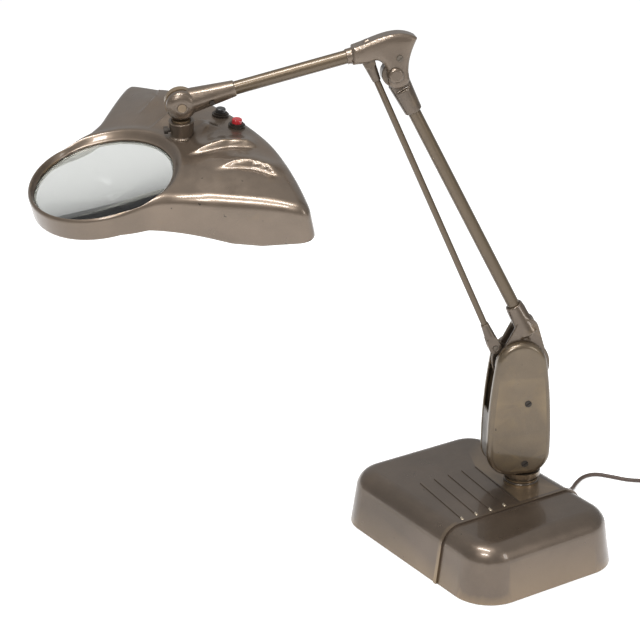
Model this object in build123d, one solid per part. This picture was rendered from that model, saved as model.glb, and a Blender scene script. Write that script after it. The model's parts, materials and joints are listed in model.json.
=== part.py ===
from build123d import *
import os
from math import atan2, cos, degrees, pi, radians, sin, sqrt, tan

# Balanced-arm bench magnifier. Millimetres, +Z up, the table is z = 0.
# The origin is on the swivel axis of the spring housing, at the underside of the base.
# The base is square to the axes and its front faces -Y.

# ---- driving dimensions: base ----
BASE_LENGTH = 247.0           # along X
BASE_DEPTH = 184.0            # along Y
BASE_HEIGHT = 58.6
BASE_CENTRE_X = -10.3         # measured from the swivel axis
BASE_CENTRE_Y = -45.5
BASE_CORNER = 40.0            # radius of the upright corners
BASE_TOP_RADIUS = 21.0        # radius of the top edge
BASE_TAPER = 8.0              # degrees, the walls lean in
BASE_WALL = 2.0
BASE_LIFT = 1.0               # gap between the shell's rim and the table
BAND_X = 41.3                 # raised band over the top, front to back
BAND_WIDTH = 4.6
BAND_PROUD = 1.2
BAND_STEP = 0.8               # the shell sits this much lower right of the band
RIB_LENGTH = 92.0
RIB_COUNT = 5
RIB_PITCH = 17.5
RIB_FIRST_Y = -103.0
RIB_TURN = -8.0               # degrees, the ribs run slightly to the rear
FELT_THICKNESS = 2.0
PLATE_THICKNESS = 2.0
WEIGHT_SIZE = (190.0, 140.0, 27.0)
SCREW_RING = ((106.0, 0.0), (-106.0, 0.0), (0.0, 78.0), (0.0, -78.0))

# ---- driving dimensions: swivel and housing ----
POST_RADIUS = 9.5
POST_TOP = 96.0
HUB_RADIUS = 18.0
HUB_TOP = 64.6
NECK_RADIUS = 19.0
HOUSING_Y = -8.0              # centre line of the covers, ahead of the swivel axis
HOUSING_TOP_RADIUS = 26.0
HOUSING_HALF_WIDTH = 32.5
HOUSING_FOOT_Z = 73.0
HOUSING_WIDEST_Z = 107.0
HOUSING_CORNER = 24.0
COVER_RIM = 11.0              # half the gap between the two covers
COVER_DEPTH = 8.0
COVER_WALL = 1.6
COVER_EDGE = 5.5
CHEEK_IN = 10.6
CHEEK_OUT = 13.0
STRIP_TOP_Z = 140.0
SPRING_ANCHOR = (-6.0, 106.0)  # y, z of the springs' lower pin
ANCHOR_RADIUS = 2.5
SPRING_RADIUS = 4.0
SPRING_X = 4.9
SPRING_TURNS = 18
SPRING_WIRE = 1.4

# ---- driving dimensions: arms, in the upright plane of the arms ----
ARM_YAW = -24.3               # degrees, the arms' plane from -Y towards -X
SHOULDER = (-6.0, 190.6)      # y, z of the lower arm's pivot
LOWER_REACH = 328.0           # shoulder to elbow
LOWER_ANGLE = 66.2            # degrees above level, leaning forward
CRANK_REACH = 32.5
CRANK_TAIL = 18.0             # shoulder to the springs' upper pin
CRANK_ANGLE = 33.6
ELBOW_OPEN = 2.0              # degrees the elbow opens and folds from this pose
ELBOW_FOLD = 48.0
UPPER_REACH = 200.3           # elbow to head knuckle
UPPER_ANGLE = -6.0
LOWER_TUBE_RADIUS = 6.2
LOWER_TUBE_OFFSET = 20.0      # the tube's line passes this far behind the shoulder
UPPER_TUBE_RADIUS = 6.4
UPPER_TUBE_RISE = 13.7        # degrees, the tube climbs from the knuckle to the elbow
UPPER_TUBE_LENGTH = 158.5     # knuckle to the mouth of the elbow casting
ROD_RADIUS = 3.2
PIVOT_RADIUS = 4.0
LINK_PIN_RADIUS = 2.5
SPRING_PIN_RADIUS = 1.6
RUNNING = 0.05                # radial clearance of a running fit
OPEN_PIVOT = 0.3              # radial clearance of the linkage's opened pivot
SIDE_GAP = 0.3
LUG = 3.0                     # half thickness of the crank and of the link lug
FORK = 6.3                    # half thickness of the rod's forks
BARREL = 7.0                  # half thickness of the lower arm's elbow barrel
BARREL_RADIUS = 12.3
CASTING_HALF = 10.8           # half thickness of the hooded elbow casting

# ---- driving dimensions: knuckle, neck and head ----
KNUCKLE_ROLL = 10.5           # degrees, the knuckle is turned on the upper tube
NECK_LEAN = 11.5              # degrees, from square to the tube towards the elbow
HEAD_TURN = 24.2              # degrees, head about the neck
LENS_PITCH = 11.2             # degrees, lens against a plane square to the neck
KNUCKLE_RADIUS = 14.0
KNUCKLE_HALF = 12.0
NECK_DROP = 33.0              # knuckle axis to the deck of the head
STEM_RADIUS = 8.5
COLLAR_HEIGHT = 16.0
COLLAR_TO_LENS = 87.5         # neck axis to lens centre, along the deck
DECK_Z = 1.7                  # deck at the collar, above the lens plane
HEAD_RING = 70.0              # outer radius of the head round the lens
HEAD_BEND = (79.0, 22.0)
HEAD_FLARE = (98.0, 52.0)
HEAD_TIP = (154.0, 113.0)
HEAD_HEEL = (149.0, 123.0)
HEAD_REAR = 153.5
LENS_RADIUS = 66.0
APERTURE = 64.8
HEAD_WALL = 1.5
TUBE_RADIUS = 8.0
TUBE_LENGTH = 212.0
TUBE_YS = (92.0, 117.0)
TUBE_Z = -38.0
BUTTON_X = 14.0
BUTTON_Y = 138.0
BUTTON_RADIUS = 4.8
BUTTON_TRAVEL = 2.5           # the buttons stand this much prouder than when pressed

# ---- driving dimensions: cord ----
CORD_DIAMETER = 4.2
CORD_EXIT = (-28.0, 68.0, 11.0)
CORD_ROUTE = (
    CORD_EXIT, (-28, 84, 11), (-36, 101, 4.5), (-48, 116, 2.3), (-57, 134, 2.3), (-55, 150, 2.3),
    (-40, 160, 2.3), (-23, 170, 2.3), (-10, 187, 2.3), (-4, 208, 2.3), (-2, 229, 2.3),
)
COIL_CENTRE = (24.0, 246.0)
COIL_MEAN_RADIUS = 23.0
COIL_WIDTH = 13.0
COIL_HEIGHT = 17.0


def polar(origin, distance, angle):
    """Point in the arms' plane: forward is -Y, the angle is above level."""
    turn = radians(angle)
    return (origin[0] - distance * cos(turn), origin[1] + distance * sin(turn))


ELBOW = polar(SHOULDER, LOWER_REACH, LOWER_ANGLE)
KNUCKLE = polar(ELBOW, UPPER_REACH, UPPER_ANGLE)
CRANK_END = polar(SHOULDER, CRANK_REACH, CRANK_ANGLE)
LINK_END = polar(ELBOW, CRANK_REACH, CRANK_ANGLE)
LOWER_AXIS_POINT = polar(SHOULDER, LOWER_TUBE_OFFSET, LOWER_ANGLE - 90 + 180)
UPPER_MOUTH = polar(KNUCKLE, UPPER_TUBE_LENGTH, 180 - UPPER_TUBE_RISE)
TAIL_END = polar(SHOULDER, CRANK_TAIL, CRANK_ANGLE + 165)
TUBE_BEARING = 180 + LOWER_ANGLE - degrees(LOWER_TUBE_OFFSET / LOWER_REACH)
TO_WORLD = Rot(0, 0, ARM_YAW)
UPRIGHT = Plane(origin=(0, 0, 0), x_dir=(0, 1, 0), z_dir=(1, 0, 0))   # sketch x = Y, sketch y = Z


def rod_between(start, end, radius, end_radius=None):
    """Round bar, or cone, between two points of the arms' plane."""
    run = Vector(0, end[0] - start[0], end[1] - start[1])
    place = Plane(origin=(0, start[0], start[1]), x_dir=(1, 0, 0), z_dir=run)
    stand = (Align.CENTER, Align.CENTER, Align.MIN)
    if end_radius is None:
        return place * Cylinder(radius, run.length, align=stand)
    return place * Cone(radius, end_radius, run.length, align=stand)


def cross_bar(centre, radius, low, high):
    """Round bar along X between x = low and x = high."""
    stand = (Align.CENTER, Align.CENTER, Align.MIN)
    return Pos(low, centre[0], centre[1]) * Rot(0, 90, 0) * Cylinder(radius, high - low, align=stand)


def slab(outline, low, high):
    """Flat piece of the arms' plane between x = low and x = high."""
    return Pos(low, 0, 0) * extrude(UPRIGHT * outline, high - low)


def hull_of(circles):
    """Outline round several circles, each given as y, z, radius."""
    return make_hull([CenterArc((y, z), radius, 0, 360).edge() for y, z, radius in circles])


def group_of(pieces):
    """Several separate solids as one part."""
    group = pieces[0]
    for piece in pieces[1:]:
        group += piece
    return group


def along(start, end, share):
    """Point a share of the way from start to end."""
    return (start[0] + (end[0] - start[0]) * share, start[1] + (end[1] - start[1]) * share)


# ---------------------------------------------------------------- base
def base_block(inset, lift=BASE_LIFT):
    """The base's rounded block with every face moved in by inset."""
    plan = RectangleRounded(BASE_LENGTH - 2 * inset, BASE_DEPTH - 2 * inset, BASE_CORNER - inset)
    height = BASE_HEIGHT - inset - lift
    block = extrude(Pos(BASE_CENTRE_X, BASE_CENTRE_Y, lift) * plan, height, taper=BASE_TAPER)
    top = block.faces().sort_by(Axis.Z)[-1]
    return fillet(top.edges(), BASE_TOP_RADIUS - inset)


def band_slab(low, high):
    """Everything between x = low and x = high."""
    return Pos((low + high) / 2, 0, 0) * Box(high - low, 600, 400)


def base_shell():
    far = 400.0
    left = base_block(0) & band_slab(-far, BAND_X)
    right = base_block(BAND_STEP) & band_slab(BAND_X, far)
    half = BAND_WIDTH / 2
    band = base_block(-BAND_PROUD) & band_slab(BAND_X - half, BAND_X + half)
    shell = left + right + band
    for index in range(RIB_COUNT):
        y = RIB_FIRST_Y + index * RIB_PITCH
        rib = Box(RIB_LENGTH, 1.6, 2.0, align=(Align.MAX, Align.CENTER, Align.CENTER))
        shell += Pos(BAND_X, y, BASE_HEIGHT - 0.2) * Rot(0, 0, RIB_TURN) * rib
    shell -= base_block(BASE_WALL, 0)
    bosses = [Pos(BASE_CENTRE_X + x, BASE_CENTRE_Y + y, 30.0 + boss_foot()) * Cylinder(5, 60)
              for x, y in SCREW_RING]
    for boss in bosses:
        shell += boss & base_block(1.0)
    for x, y in SCREW_RING:
        shell -= Pos(BASE_CENTRE_X + x, BASE_CENTRE_Y + y, 0) * Cylinder(2.05, 2 * 24)
    shell -= Cylinder(POST_RADIUS + RUNNING, 200)
    shell -= bushing_hole()
    return shell


def boss_foot():
    return FELT_THICKNESS + PLATE_THICKNESS


def bushing_hole():
    place = Pos(CORD_EXIT[0], BASE_CENTRE_Y + BASE_DEPTH / 2, CORD_EXIT[2])
    return place * Rot(90, 0, 0) * Cylinder(5.0, 16)


def floor_sheet(gap, thickness, low):
    """Flat sheet that closes the base, smaller than the shell's inside by gap."""
    inset = BASE_WALL + gap
    plan = RectangleRounded(BASE_LENGTH - 2 * inset, BASE_DEPTH - 2 * inset, BASE_CORNER - inset)
    return extrude(Pos(BASE_CENTRE_X, BASE_CENTRE_Y, low) * plan, thickness)


def bottom_plate():
    plate = floor_sheet(0.8, PLATE_THICKNESS, FELT_THICKNESS)
    for x, y in SCREW_RING:
        plate -= Pos(BASE_CENTRE_X + x, BASE_CENTRE_Y + y, 0) * Cylinder(2.05, 20)
    return plate


def felt_pad():
    pad = floor_sheet(2.5, FELT_THICKNESS, 0)
    for x, y in SCREW_RING:
        pad -= Pos(BASE_CENTRE_X + x, BASE_CENTRE_Y + y, 0) * Cylinder(4.6, 20)
    return pad


def base_screws():
    """Four pan-head screws that hold the plate to the shell, heads sunk in the felt."""
    screws = []
    for x, y in SCREW_RING:
        stand = (Align.CENTER, Align.CENTER, Align.MIN)
        head = Cylinder(4.0, 1.4, align=stand)
        shank = Cylinder(2.0, 18.6, align=stand)
        place = Pos(BASE_CENTRE_X + x, BASE_CENTRE_Y + y, FELT_THICKNESS - 1.4)
        screws.append(place * (head + shank))
    return group_of(screws)


def base_weight():
    length, depth, height = WEIGHT_SIZE
    foot = boss_foot()
    block = extrude(Pos(BASE_CENTRE_X, BASE_CENTRE_Y, foot) * RectangleRounded(length, depth, 12), height)
    block = fillet(block.faces().sort_by(Axis.Z)[-1].edges(), 3)
    return block - Cylinder(POST_RADIUS, 200)


def ballast():
    """Choke for the lamps: laminated core with a winding."""
    foot = boss_foot() + WEIGHT_SIZE[2]
    core = Box(62, 40, 16) - Pos(0, 12, 0) * Box(40, 6, 20) - Pos(0, -12, 0) * Box(40, 6, 20)
    winding = Box(36, 28, 19) - Box(40, 14, 16.2)
    core_part = Pos(20, -80, foot + 10.0) * core
    return core_part + Pos(20, -80, foot + 10.0) * (winding + Box(36, 20, 12))


def swivel_post():
    foot = boss_foot() + 0.5
    height = POST_TOP - foot
    post = Pos(0, 0, foot + height / 2) * Cylinder(POST_RADIUS, height)
    return post - Cylinder(6.0, 300)


def post_nut():
    low = boss_foot() + WEIGHT_SIZE[2]
    nut = extrude(Pos(0, 0, low) * RegularPolygon(15, 6), 7)
    return nut - Cylinder(POST_RADIUS, 200)


def base_hub():
    """Turned flange on the base that the housing's neck stands on."""
    low = BASE_HEIGHT
    bore = POST_RADIUS + RUNNING
    with BuildSketch(Plane.XZ) as section:
        with BuildLine():
            line = Polyline((bore, low), (HUB_RADIUS, low), (HUB_RADIUS, low + 2.2))
            neck = ThreePointArc(line @ 1, (HUB_RADIUS - 1.4, low + 3.1), (HUB_RADIUS - 0.6, low + 4.4))
            Polyline(neck @ 1, (HUB_RADIUS - 0.6, HUB_TOP), (bore, HUB_TOP), (bore, low))
        make_face()
    return revolve(section.sketch, Axis.Z)


def thrust_washer():
    washer = Pos(0, 0, HUB_TOP + 0.5) * Cylinder(15.5, 1.0)
    return washer - Cylinder(POST_RADIUS + RUNNING, 300)


def cord_bushing():
    """Tapered strain relief through the rear wall of the base."""
    wall_y = BASE_CENTRE_Y + BASE_DEPTH / 2 - tan(radians(BASE_TAPER)) * CORD_EXIT[2]
    stand = (Align.CENTER, Align.CENTER, Align.MIN)
    back = Plane(origin=(CORD_EXIT[0], wall_y - 5.6, CORD_EXIT[2]), x_dir=(1, 0, 0), z_dir=(0, 1, 0))
    inner = back * Cylinder(6.6, 2.4, align=stand)
    barrel = back * Cylinder(4.9, 7.2, align=stand)
    flange = back.offset(6.6) * Cylinder(6.6, 1.8, align=stand)
    tail_length = CORD_EXIT[1] - (wall_y + 2.8)
    tail = back.offset(8.4) * Cone(4.8, 3.0, tail_length, align=stand)
    grooves = [back.offset(10.6 + 2.6 * i) * (Cylinder(8, 0.8) - Cylinder(3.3, 2)) for i in range(5)]
    relief = inner + barrel + flange + tail
    for groove in grooves:
        relief -= groove
    return relief


# ---------------------------------------------------------------- cord
def cord_radii():
    """Radius of the arc at each inner point of the cord's route."""
    radii = []
    for before, corner, after in zip(CORD_ROUTE, CORD_ROUTE[1:], CORD_ROUTE[2:]):
        run_in = Vector(*corner) - Vector(*before)
        run_out = Vector(*after) - Vector(*corner)
        turn = radians(run_in.get_angle(run_out))
        radii.append(0.45 * min(run_in.length, run_out.length) / tan(turn / 2))
    return radii


def power_cord():
    path = FilletPolyline(*CORD_ROUTE, radius=cord_radii())
    start = Plane(origin=path @ 0, z_dir=path % 0)
    tube = sweep(start * Circle(CORD_DIAMETER / 2), path)
    section = pi * CORD_DIAMETER ** 2 / 4
    print("cord length", round(path.length, 1), "volume over section x length",
          round(tube.volume / (section * path.length), 4))
    print("cord radii", [round(radius, 1) for radius in cord_radii()])
    return tube


def cord_coil():
    """Outer shape of the neat round coil that holds the rest of the cord."""
    ring = RectangleRounded(COIL_WIDTH, COIL_HEIGHT, 5)
    section = Plane.XZ * (Pos(COIL_MEAN_RADIUS, COIL_HEIGHT / 2) * ring)
    return Pos(COIL_CENTRE[0], COIL_CENTRE[1], 0) * revolve(section, Axis.Z)


def plug_place():
    return Pos(COIL_CENTRE[0] - 20, COIL_CENTRE[1] + 46, 8.0) * Rot(0, 0, 205)


def plug_body():
    """Flat two-pin plug with grip shoulders, lying beside the coil."""
    outline = Polyline((0, -9), (0, 9), (14, 11), (20, 8), (27, 4), (36, 3.2), (36, -3.2), (27, -4),
                       (20, -8), (14, -11), (0, -9))
    body = extrude(Pos(0, 0, -7) * make_face(outline), 14)
    body = fillet(body.edges().filter_by(Axis.Z, reverse=True), 1.5)
    return plug_place() * body


def plug_blades():
    blade = Box(17, 1.5, 6.3, align=(Align.MAX, Align.CENTER, Align.CENTER))
    return group_of([plug_place() * Pos(0, side * 6.35, 0) * blade for side in (-1, 1)])


# ---------------------------------------------------------------- housing
def housing_outline(inset):
    """Egg-shaped outline of the covers: crown, two long flanks and two foot corners."""
    crown_z = SHOULDER[1]
    rise = crown_z - HOUSING_WIDEST_Z
    wide = HOUSING_HALF_WIDTH
    # the flank's circle is level with the widest point and touches the crown's circle
    flank = (wide ** 2 + rise ** 2 - HOUSING_TOP_RADIUS ** 2) / (2 * (wide - HOUSING_TOP_RADIUS))
    flank_y = wide - flank
    corner_z = HOUSING_FOOT_Z + HOUSING_CORNER
    corner_y = flank_y + sqrt((flank - HOUSING_CORNER) ** 2 - (HOUSING_WIDEST_Z - corner_z) ** 2)
    top_turn = atan2(rise, -flank_y)
    low_turn = atan2(corner_z - HOUSING_WIDEST_Z, corner_y - flank_y)

    def spot(centre, radius, turn):
        return (centre[0] + (radius - inset) * cos(turn), centre[1] + (radius - inset) * sin(turn))

    side = (flank_y, HOUSING_WIDEST_Z)
    corner = (corner_y, corner_z)
    top = (0, crown_z + HOUSING_TOP_RADIUS - inset)
    high = spot(side, flank, top_turn)
    middle = spot(side, flank, (top_turn + low_turn) / 2)
    low = spot(side, flank, low_turn)
    turn = spot(corner, HOUSING_CORNER, (low_turn - pi / 2) / 2)
    foot = spot(corner, HOUSING_CORNER, -pi / 2)
    flip = [(-y, z) for y, z in (high, middle, low, turn, foot)]
    edges = [
        ThreePointArc(flip[0], top, high),
        ThreePointArc(high, middle, low),
        ThreePointArc(low, turn, foot),
        Line(foot, flip[4]),
        ThreePointArc(flip[4], flip[3], flip[2]),
        ThreePointArc(flip[2], flip[1], flip[0]),
    ]
    return Pos(HOUSING_Y, 0) * make_face(edges)


def right_cover():
    """Pan-shaped cover on the +X side, open towards the middle."""
    outer = slab(housing_outline(0), COVER_RIM, COVER_RIM + COVER_DEPTH)
    outer = fillet(outer.faces().sort_by(Axis.X)[-1].edges(), COVER_EDGE)
    inner = slab(housing_outline(COVER_WALL), COVER_RIM - 1, COVER_RIM + COVER_DEPTH - COVER_WALL)
    inner = fillet(inner.faces().sort_by(Axis.X)[-1].edges(), COVER_EDGE - COVER_WALL)
    cover = outer - inner
    for place in cover_screw_places():
        cover -= cross_bar(place, 2.1, 10, 30)
        cover -= cross_bar(place, 3.6, COVER_RIM + COVER_DEPTH - 1.0, 30)
    return cover


def left_cover():
    return mirror(right_cover(), about=Plane.YZ)


def cover_screw_places():
    return ((-1.0, 152.0), (-2.0, 86.0))


def cover_screws():
    """Two slotted screws in each cover, tapped into the cheeks of the frame."""
    screws = []
    for place in cover_screw_places():
        face = COVER_RIM + COVER_DEPTH
        screw = cross_bar(place, 3.4, face - 1.0, face + 0.5) + cross_bar(place, 2.0, CHEEK_IN, face - 1.0)
        screw -= Pos(face + 0.4, place[0], place[1]) * Rot(35, 0, 0) * Box(1.2, 8, 0.9)
        screws += [screw, mirror(screw, about=Plane.YZ)]
    return group_of(screws)


def housing_frame():
    """Steel block and two cheeks that carry the shoulder pivot; it turns on the post."""
    stand = (Align.CENTER, Align.CENTER, Align.MIN)
    low = HUB_TOP + 1.0
    frame = Pos(0, 0, low) * Cylinder(NECK_RADIUS - 2.4, 3.2, align=stand)
    frame += Pos(0, 0, low + 2.4) * Cylinder(NECK_RADIUS, HOUSING_FOOT_Z - low - 2.4 - SIDE_GAP, align=stand)
    frame += Pos(0, 0, HOUSING_FOOT_Z + 13.0) * Box(2 * CHEEK_IN + 0.6, 28, 28)
    frame -= Cylinder(POST_RADIUS + RUNNING, 2 * (POST_TOP + 1.5))
    cheek = slab(hull_of(((0, 88, 12), (*SHOULDER, 12))), CHEEK_IN, CHEEK_OUT)
    cheek -= cross_bar(SHOULDER, PIVOT_RADIUS, 0, 20)
    cheek -= cross_bar(SPRING_ANCHOR, ANCHOR_RADIUS, 0, 20)
    for place in cover_screw_places():
        cheek -= cross_bar(place, 2.05, 0, 20)
    frame -= cross_bar(cover_screw_places()[1], 2.05, CHEEK_IN - 0.5, 20)
    frame -= cross_bar(cover_screw_places()[1], 2.05, -20, 0.5 - CHEEK_IN)
    return frame + cheek + mirror(cheek, about=Plane.YZ)


def edge_strip(side):
    """Strip that closes the gap between the covers at the front or the rear."""
    band = slab(housing_outline(0.6), -COVER_RIM, COVER_RIM) - slab(housing_outline(2.2), -30, 30)
    height = STRIP_TOP_Z - HOUSING_FOOT_Z
    reach = 60.0
    y = HOUSING_Y - reach / 2 - 20.5 if side == "front" else HOUSING_Y + reach / 2 + 27.0
    return band & Pos(0, y, STRIP_TOP_Z - height / 2) * Box(60, reach, height)


def shoulder_pin():
    """Main pivot pin, headed at both ends inside the covers."""
    pin = cross_bar(SHOULDER, PIVOT_RADIUS, -CHEEK_OUT, CHEEK_OUT)
    for low in (CHEEK_OUT, -CHEEK_OUT - 2):
        pin += cross_bar(SHOULDER, 6.5, low, low + 2)
    return pin


def anchor_pin():
    """Pin through the cheeks that holds the springs' lower hooks."""
    return cross_bar(SPRING_ANCHOR, ANCHOR_RADIUS, -CHEEK_OUT, CHEEK_OUT)


def counter_spring(side):
    """Counterbalance spring drawn as its outer shape, with a straight wire to the crank's tail."""
    x = side * SPRING_X
    start = Vector(x, *SPRING_ANCHOR)
    run = Vector(x, *TAIL_END) - start
    wire = SPRING_WIRE / 2
    low, high = ANCHOR_RADIUS + 0.1, run.length - SPRING_PIN_RADIUS - 0.1
    coil_low, coil_high = 9.0, 52.0
    pitch = (coil_high - coil_low) / SPRING_TURNS
    root = SPRING_RADIUS - wire
    with BuildSketch(Plane.XZ) as section:
        with BuildLine():
            Polyline((0, low), (wire, low), (wire, coil_low), (root, coil_low))
            for turn in range(SPRING_TURNS):
                z = coil_low + turn * pitch
                ThreePointArc((root, z), (SPRING_RADIUS, z + pitch / 2), (root, z + pitch))
            Polyline((root, coil_high), (wire, coil_high), (wire, high), (0, high), (0, low))
        make_face()
    return Plane(origin=start, z_dir=run) * revolve(section.sketch, Axis.Z)


# ---------------------------------------------------------------- lower arm
def lower_point(share):
    """Point on the lower tube's centre line, share 0 at the elbow, 1 beside the shoulder."""
    return along(ELBOW, LOWER_AXIS_POINT, share)


LOWER_TOP = 42.0 / LOWER_REACH
LOWER_FOOT = 268.0 / LOWER_REACH


def lower_tube():
    bar = rod_between(lower_point(LOWER_TOP - 0.03), lower_point(LOWER_FOOT + 0.04), LOWER_TUBE_RADIUS)
    bore = rod_between(lower_point(0.0), lower_point(1.0), LOWER_TUBE_RADIUS - 1.2)
    return bar - bore


def lower_foot():
    """Casting at the bottom of the lower tube: two discs on the shoulder pin and a socket."""
    throat = lower_point(0.94)
    socket = rod_between(lower_point(LOWER_FOOT), lower_point(0.915), 8.4, 14.0)
    half = CHEEK_IN - SIDE_GAP
    web = slab(hull_of(((*SHOULDER, 26), (*lower_point(0.90), 12.0))), -half, half)
    disc = cross_bar(SHOULDER, 27.6, -half, half)
    body = disc + web + socket + rod_between(throat, lower_point(0.90), 10, 12.5)
    for low, high in ((half, 40), (-40, -half)):
        body -= cross_bar(SHOULDER, HOUSING_TOP_RADIUS + 1.4, low, high)
    body -= crank_room()
    body -= cross_bar(SHOULDER, PIVOT_RADIUS + RUNNING, -40, 40)
    body -= rod_between(lower_point(0.3), lower_point(LOWER_FOOT + 0.04), LOWER_TUBE_RADIUS)
    return body


def crank_room():
    """Space between the foot's discs that the crank and the rod's fork swing through."""
    half = FORK + SIDE_GAP
    room = cross_bar(SHOULDER, 60, -half, half)
    wall = lower_point(0.80)
    spine = hull_of(((*along(SHOULDER, wall, 1.0), 7.0), (*lower_point(0.93), 7.0)))
    return room - slab(spine, -half - 1, half + 1) - slab(foot_bridge(), -half - 1, half + 1)


def foot_bridge():
    """Outline of the solid that joins the foot's two discs behind the crank."""
    return hull_of(((*lower_point(0.80), 9.0), (*lower_point(0.90), 9.5), (8.5, SHOULDER[1] + 19.5, 4.0)))


def elbow_barrel():
    """Casting at the top of the lower tube: round barrel and tapered socket."""
    barrel = cross_bar(ELBOW, BARREL_RADIUS, -BARREL, BARREL)
    socket = rod_between(lower_point(LOWER_TOP), lower_point(0.03), 8.6, 10.8)
    squeeze = slab(hull_of(((*ELBOW, 12), (*lower_point(0.06), 11))), -BARREL, BARREL)
    body = barrel + (socket & (squeeze + rod_between(lower_point(LOWER_TOP), lower_point(0.052), 40)))
    body -= cross_bar(ELBOW, PIVOT_RADIUS + RUNNING, -20, 20)
    body -= rod_between(lower_point(0.3), lower_point(LOWER_TOP - 0.03), LOWER_TUBE_RADIUS)
    return body


# ---------------------------------------------------------------- crank and link rod
def crank():
    """Lever on the shoulder pin that the link rod moves; its tail hooks the springs."""
    plate = slab(hull_of(((*SHOULDER, 9.5), (*CRANK_END, 6.2))), -LUG, LUG)
    plate += slab(hull_of(((*SHOULDER, 9.5), (*TAIL_END, 4.5))), -LUG, LUG)
    plate += cross_bar(SHOULDER, 9.5, -FORK, FORK)
    plate -= cross_bar(SHOULDER, PIVOT_RADIUS + RUNNING, -20, 20)
    plate -= cross_bar(CRANK_END, LINK_PIN_RADIUS, -20, 20)
    return plate - cross_bar(TAIL_END, SPRING_PIN_RADIUS, -20, 20)


def spring_pin():
    """Pin through the crank's tail that the springs' upper hooks pull on."""
    return cross_bar(TAIL_END, SPRING_PIN_RADIUS, -FORK + 0.3, FORK - 0.3)


FORK_LENGTH = 27.0


def rod_fork(pin, far, hole):
    """Fork at one end of the link rod; far is the rod's other pin."""
    share = FORK_LENGTH / LOWER_REACH
    neck = along(pin, far, share)
    fork = slab(hull_of(((*pin, 6.4), (*neck, 3.9))), -FORK, FORK)
    waist = along(pin, far, 0.3 * share)
    fork &= cross_bar(pin, 12, -FORK, FORK) + rod_between(waist, neck, 7.2, 4.4)
    gap = LUG + SIDE_GAP
    fork -= slab(hull_of(((*pin, 7.2), (*along(pin, far, 0.36 * share), 7.0))), -gap, gap)
    fork -= cross_bar(pin, hole, -20, 20)
    return fork - rod_between(along(pin, far, 0.7 * share), far, ROD_RADIUS)


def lower_rod_fork():
    return rod_fork(CRANK_END, LINK_END, LINK_PIN_RADIUS + 2 * RUNNING)


def upper_rod_fork():
    return rod_fork(LINK_END, CRANK_END, LINK_PIN_RADIUS + OPEN_PIVOT)


def link_rod():
    share = 0.7 * FORK_LENGTH / LOWER_REACH
    return rod_between(along(CRANK_END, LINK_END, share), along(CRANK_END, LINK_END, 1 - share), ROD_RADIUS)


def lower_link_pin():
    return cross_bar(CRANK_END, LINK_PIN_RADIUS, -FORK, FORK)


# ---------------------------------------------------------------- upper arm
def elbow_outline():
    """Side view of the hooded elbow casting, swept up to a beak at the back."""
    y, z = ELBOW
    with BuildSketch() as sketch:
        with BuildLine():
            hood = Spline((y - 40, z + 26.4), (y - 18.5, z + 34.0), (y + 2, z + 38.6), (y + 20.5, z + 34.0))
            nape = Spline(hood @ 1, (y + 14.6, z + 19), (y + 12.6, z + 6), (y + 14.0, z - 4.5))
            chin = ThreePointArc(nape @ 1, (y + 3.5, z - 14.2), (y - 7, z - 9))
            throat = Spline(chin @ 1, (y - 8.6, z + 4), (y - 14, z + 12.6), (y - 24, z + 11.6))
            sole = Line(throat @ 1, (y - 40, z + 10.4))
            Line(sole @ 1, hood @ 0)
        make_face()
    return sketch.sketch


def rod_room():
    """Space inside the hood that the barrel and the rod's fork swing through."""
    half = BARREL + SIDE_GAP
    barrel = cross_bar(ELBOW, BARREL_RADIUS + 0.8, -half, half)
    deep = 46.0
    spread = (TUBE_BEARING - ELBOW_OPEN - 1, TUBE_BEARING + ELBOW_FOLD / 2, TUBE_BEARING + ELBOW_FOLD + 1)
    room = barrel
    for pin, width in ((ELBOW, BARREL_RADIUS + 0.8), (LINK_END, 7.2)):
        swept = [(*polar(pin, deep, bearing), width) for bearing in spread]
        room += slab(hull_of(((*pin, width), *swept)), -half, half)
    return room


def elbow_casting():
    """Hooded casting: socket for the upper tube, two cheeks and the lug of the link."""
    body = slab(elbow_outline(), -CASTING_HALF, CASTING_HALF)
    body = fillet(body.faces().sort_by(Axis.X)[0].edges() + body.faces().sort_by(Axis.X)[-1].edges(), 4.0)
    body += rod_between(UPPER_MOUTH, polar(KNUCKLE, UPPER_TUBE_LENGTH + 22, 180 - UPPER_TUBE_RISE), 7.4)
    body -= rod_room()
    lug = slab(hull_of(((*LINK_END, 5.6), (LINK_END[0] + 2, LINK_END[1] + 10, 5.0))), -LUG, LUG)
    body += lug
    body -= cross_bar(LINK_END, LINK_PIN_RADIUS, -LUG - 1, LUG + 1)
    body -= cross_bar(ELBOW, PIVOT_RADIUS, -20, 20)
    body -= rod_between(KNUCKLE, upper_socket_end(), UPPER_TUBE_RADIUS)
    return body


def upper_socket_end():
    return polar(KNUCKLE, UPPER_TUBE_LENGTH + 7, 180 - UPPER_TUBE_RISE)


def elbow_pin():
    """Elbow pivot with a domed boss on each side."""
    pin = Cylinder(PIVOT_RADIUS, 2 * CASTING_HALF)
    boss = Pos(0, 0, CASTING_HALF + 1.8) * Cylinder(7.4, 3.6)
    boss = fillet(boss.edges().sort_by(Axis.Z)[-1], 3.0)
    pin += boss + mirror(boss, about=Plane.XY)
    return Pos(0, ELBOW[0], ELBOW[1]) * Rot(0, 90, 0) * pin


def elbow_screw():
    place = (ELBOW[0] + 3.6, ELBOW[1] + 15.8)
    face = CASTING_HALF + 1.2
    screw = cross_bar(place, 3.1, CASTING_HALF, face)
    return screw - Pos(face, place[0], place[1]) * Rot(40, 0, 0) * Box(1.0, 8, 0.9)


def upper_link_pin():
    return cross_bar(LINK_END, LINK_PIN_RADIUS, -FORK, FORK)


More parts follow.
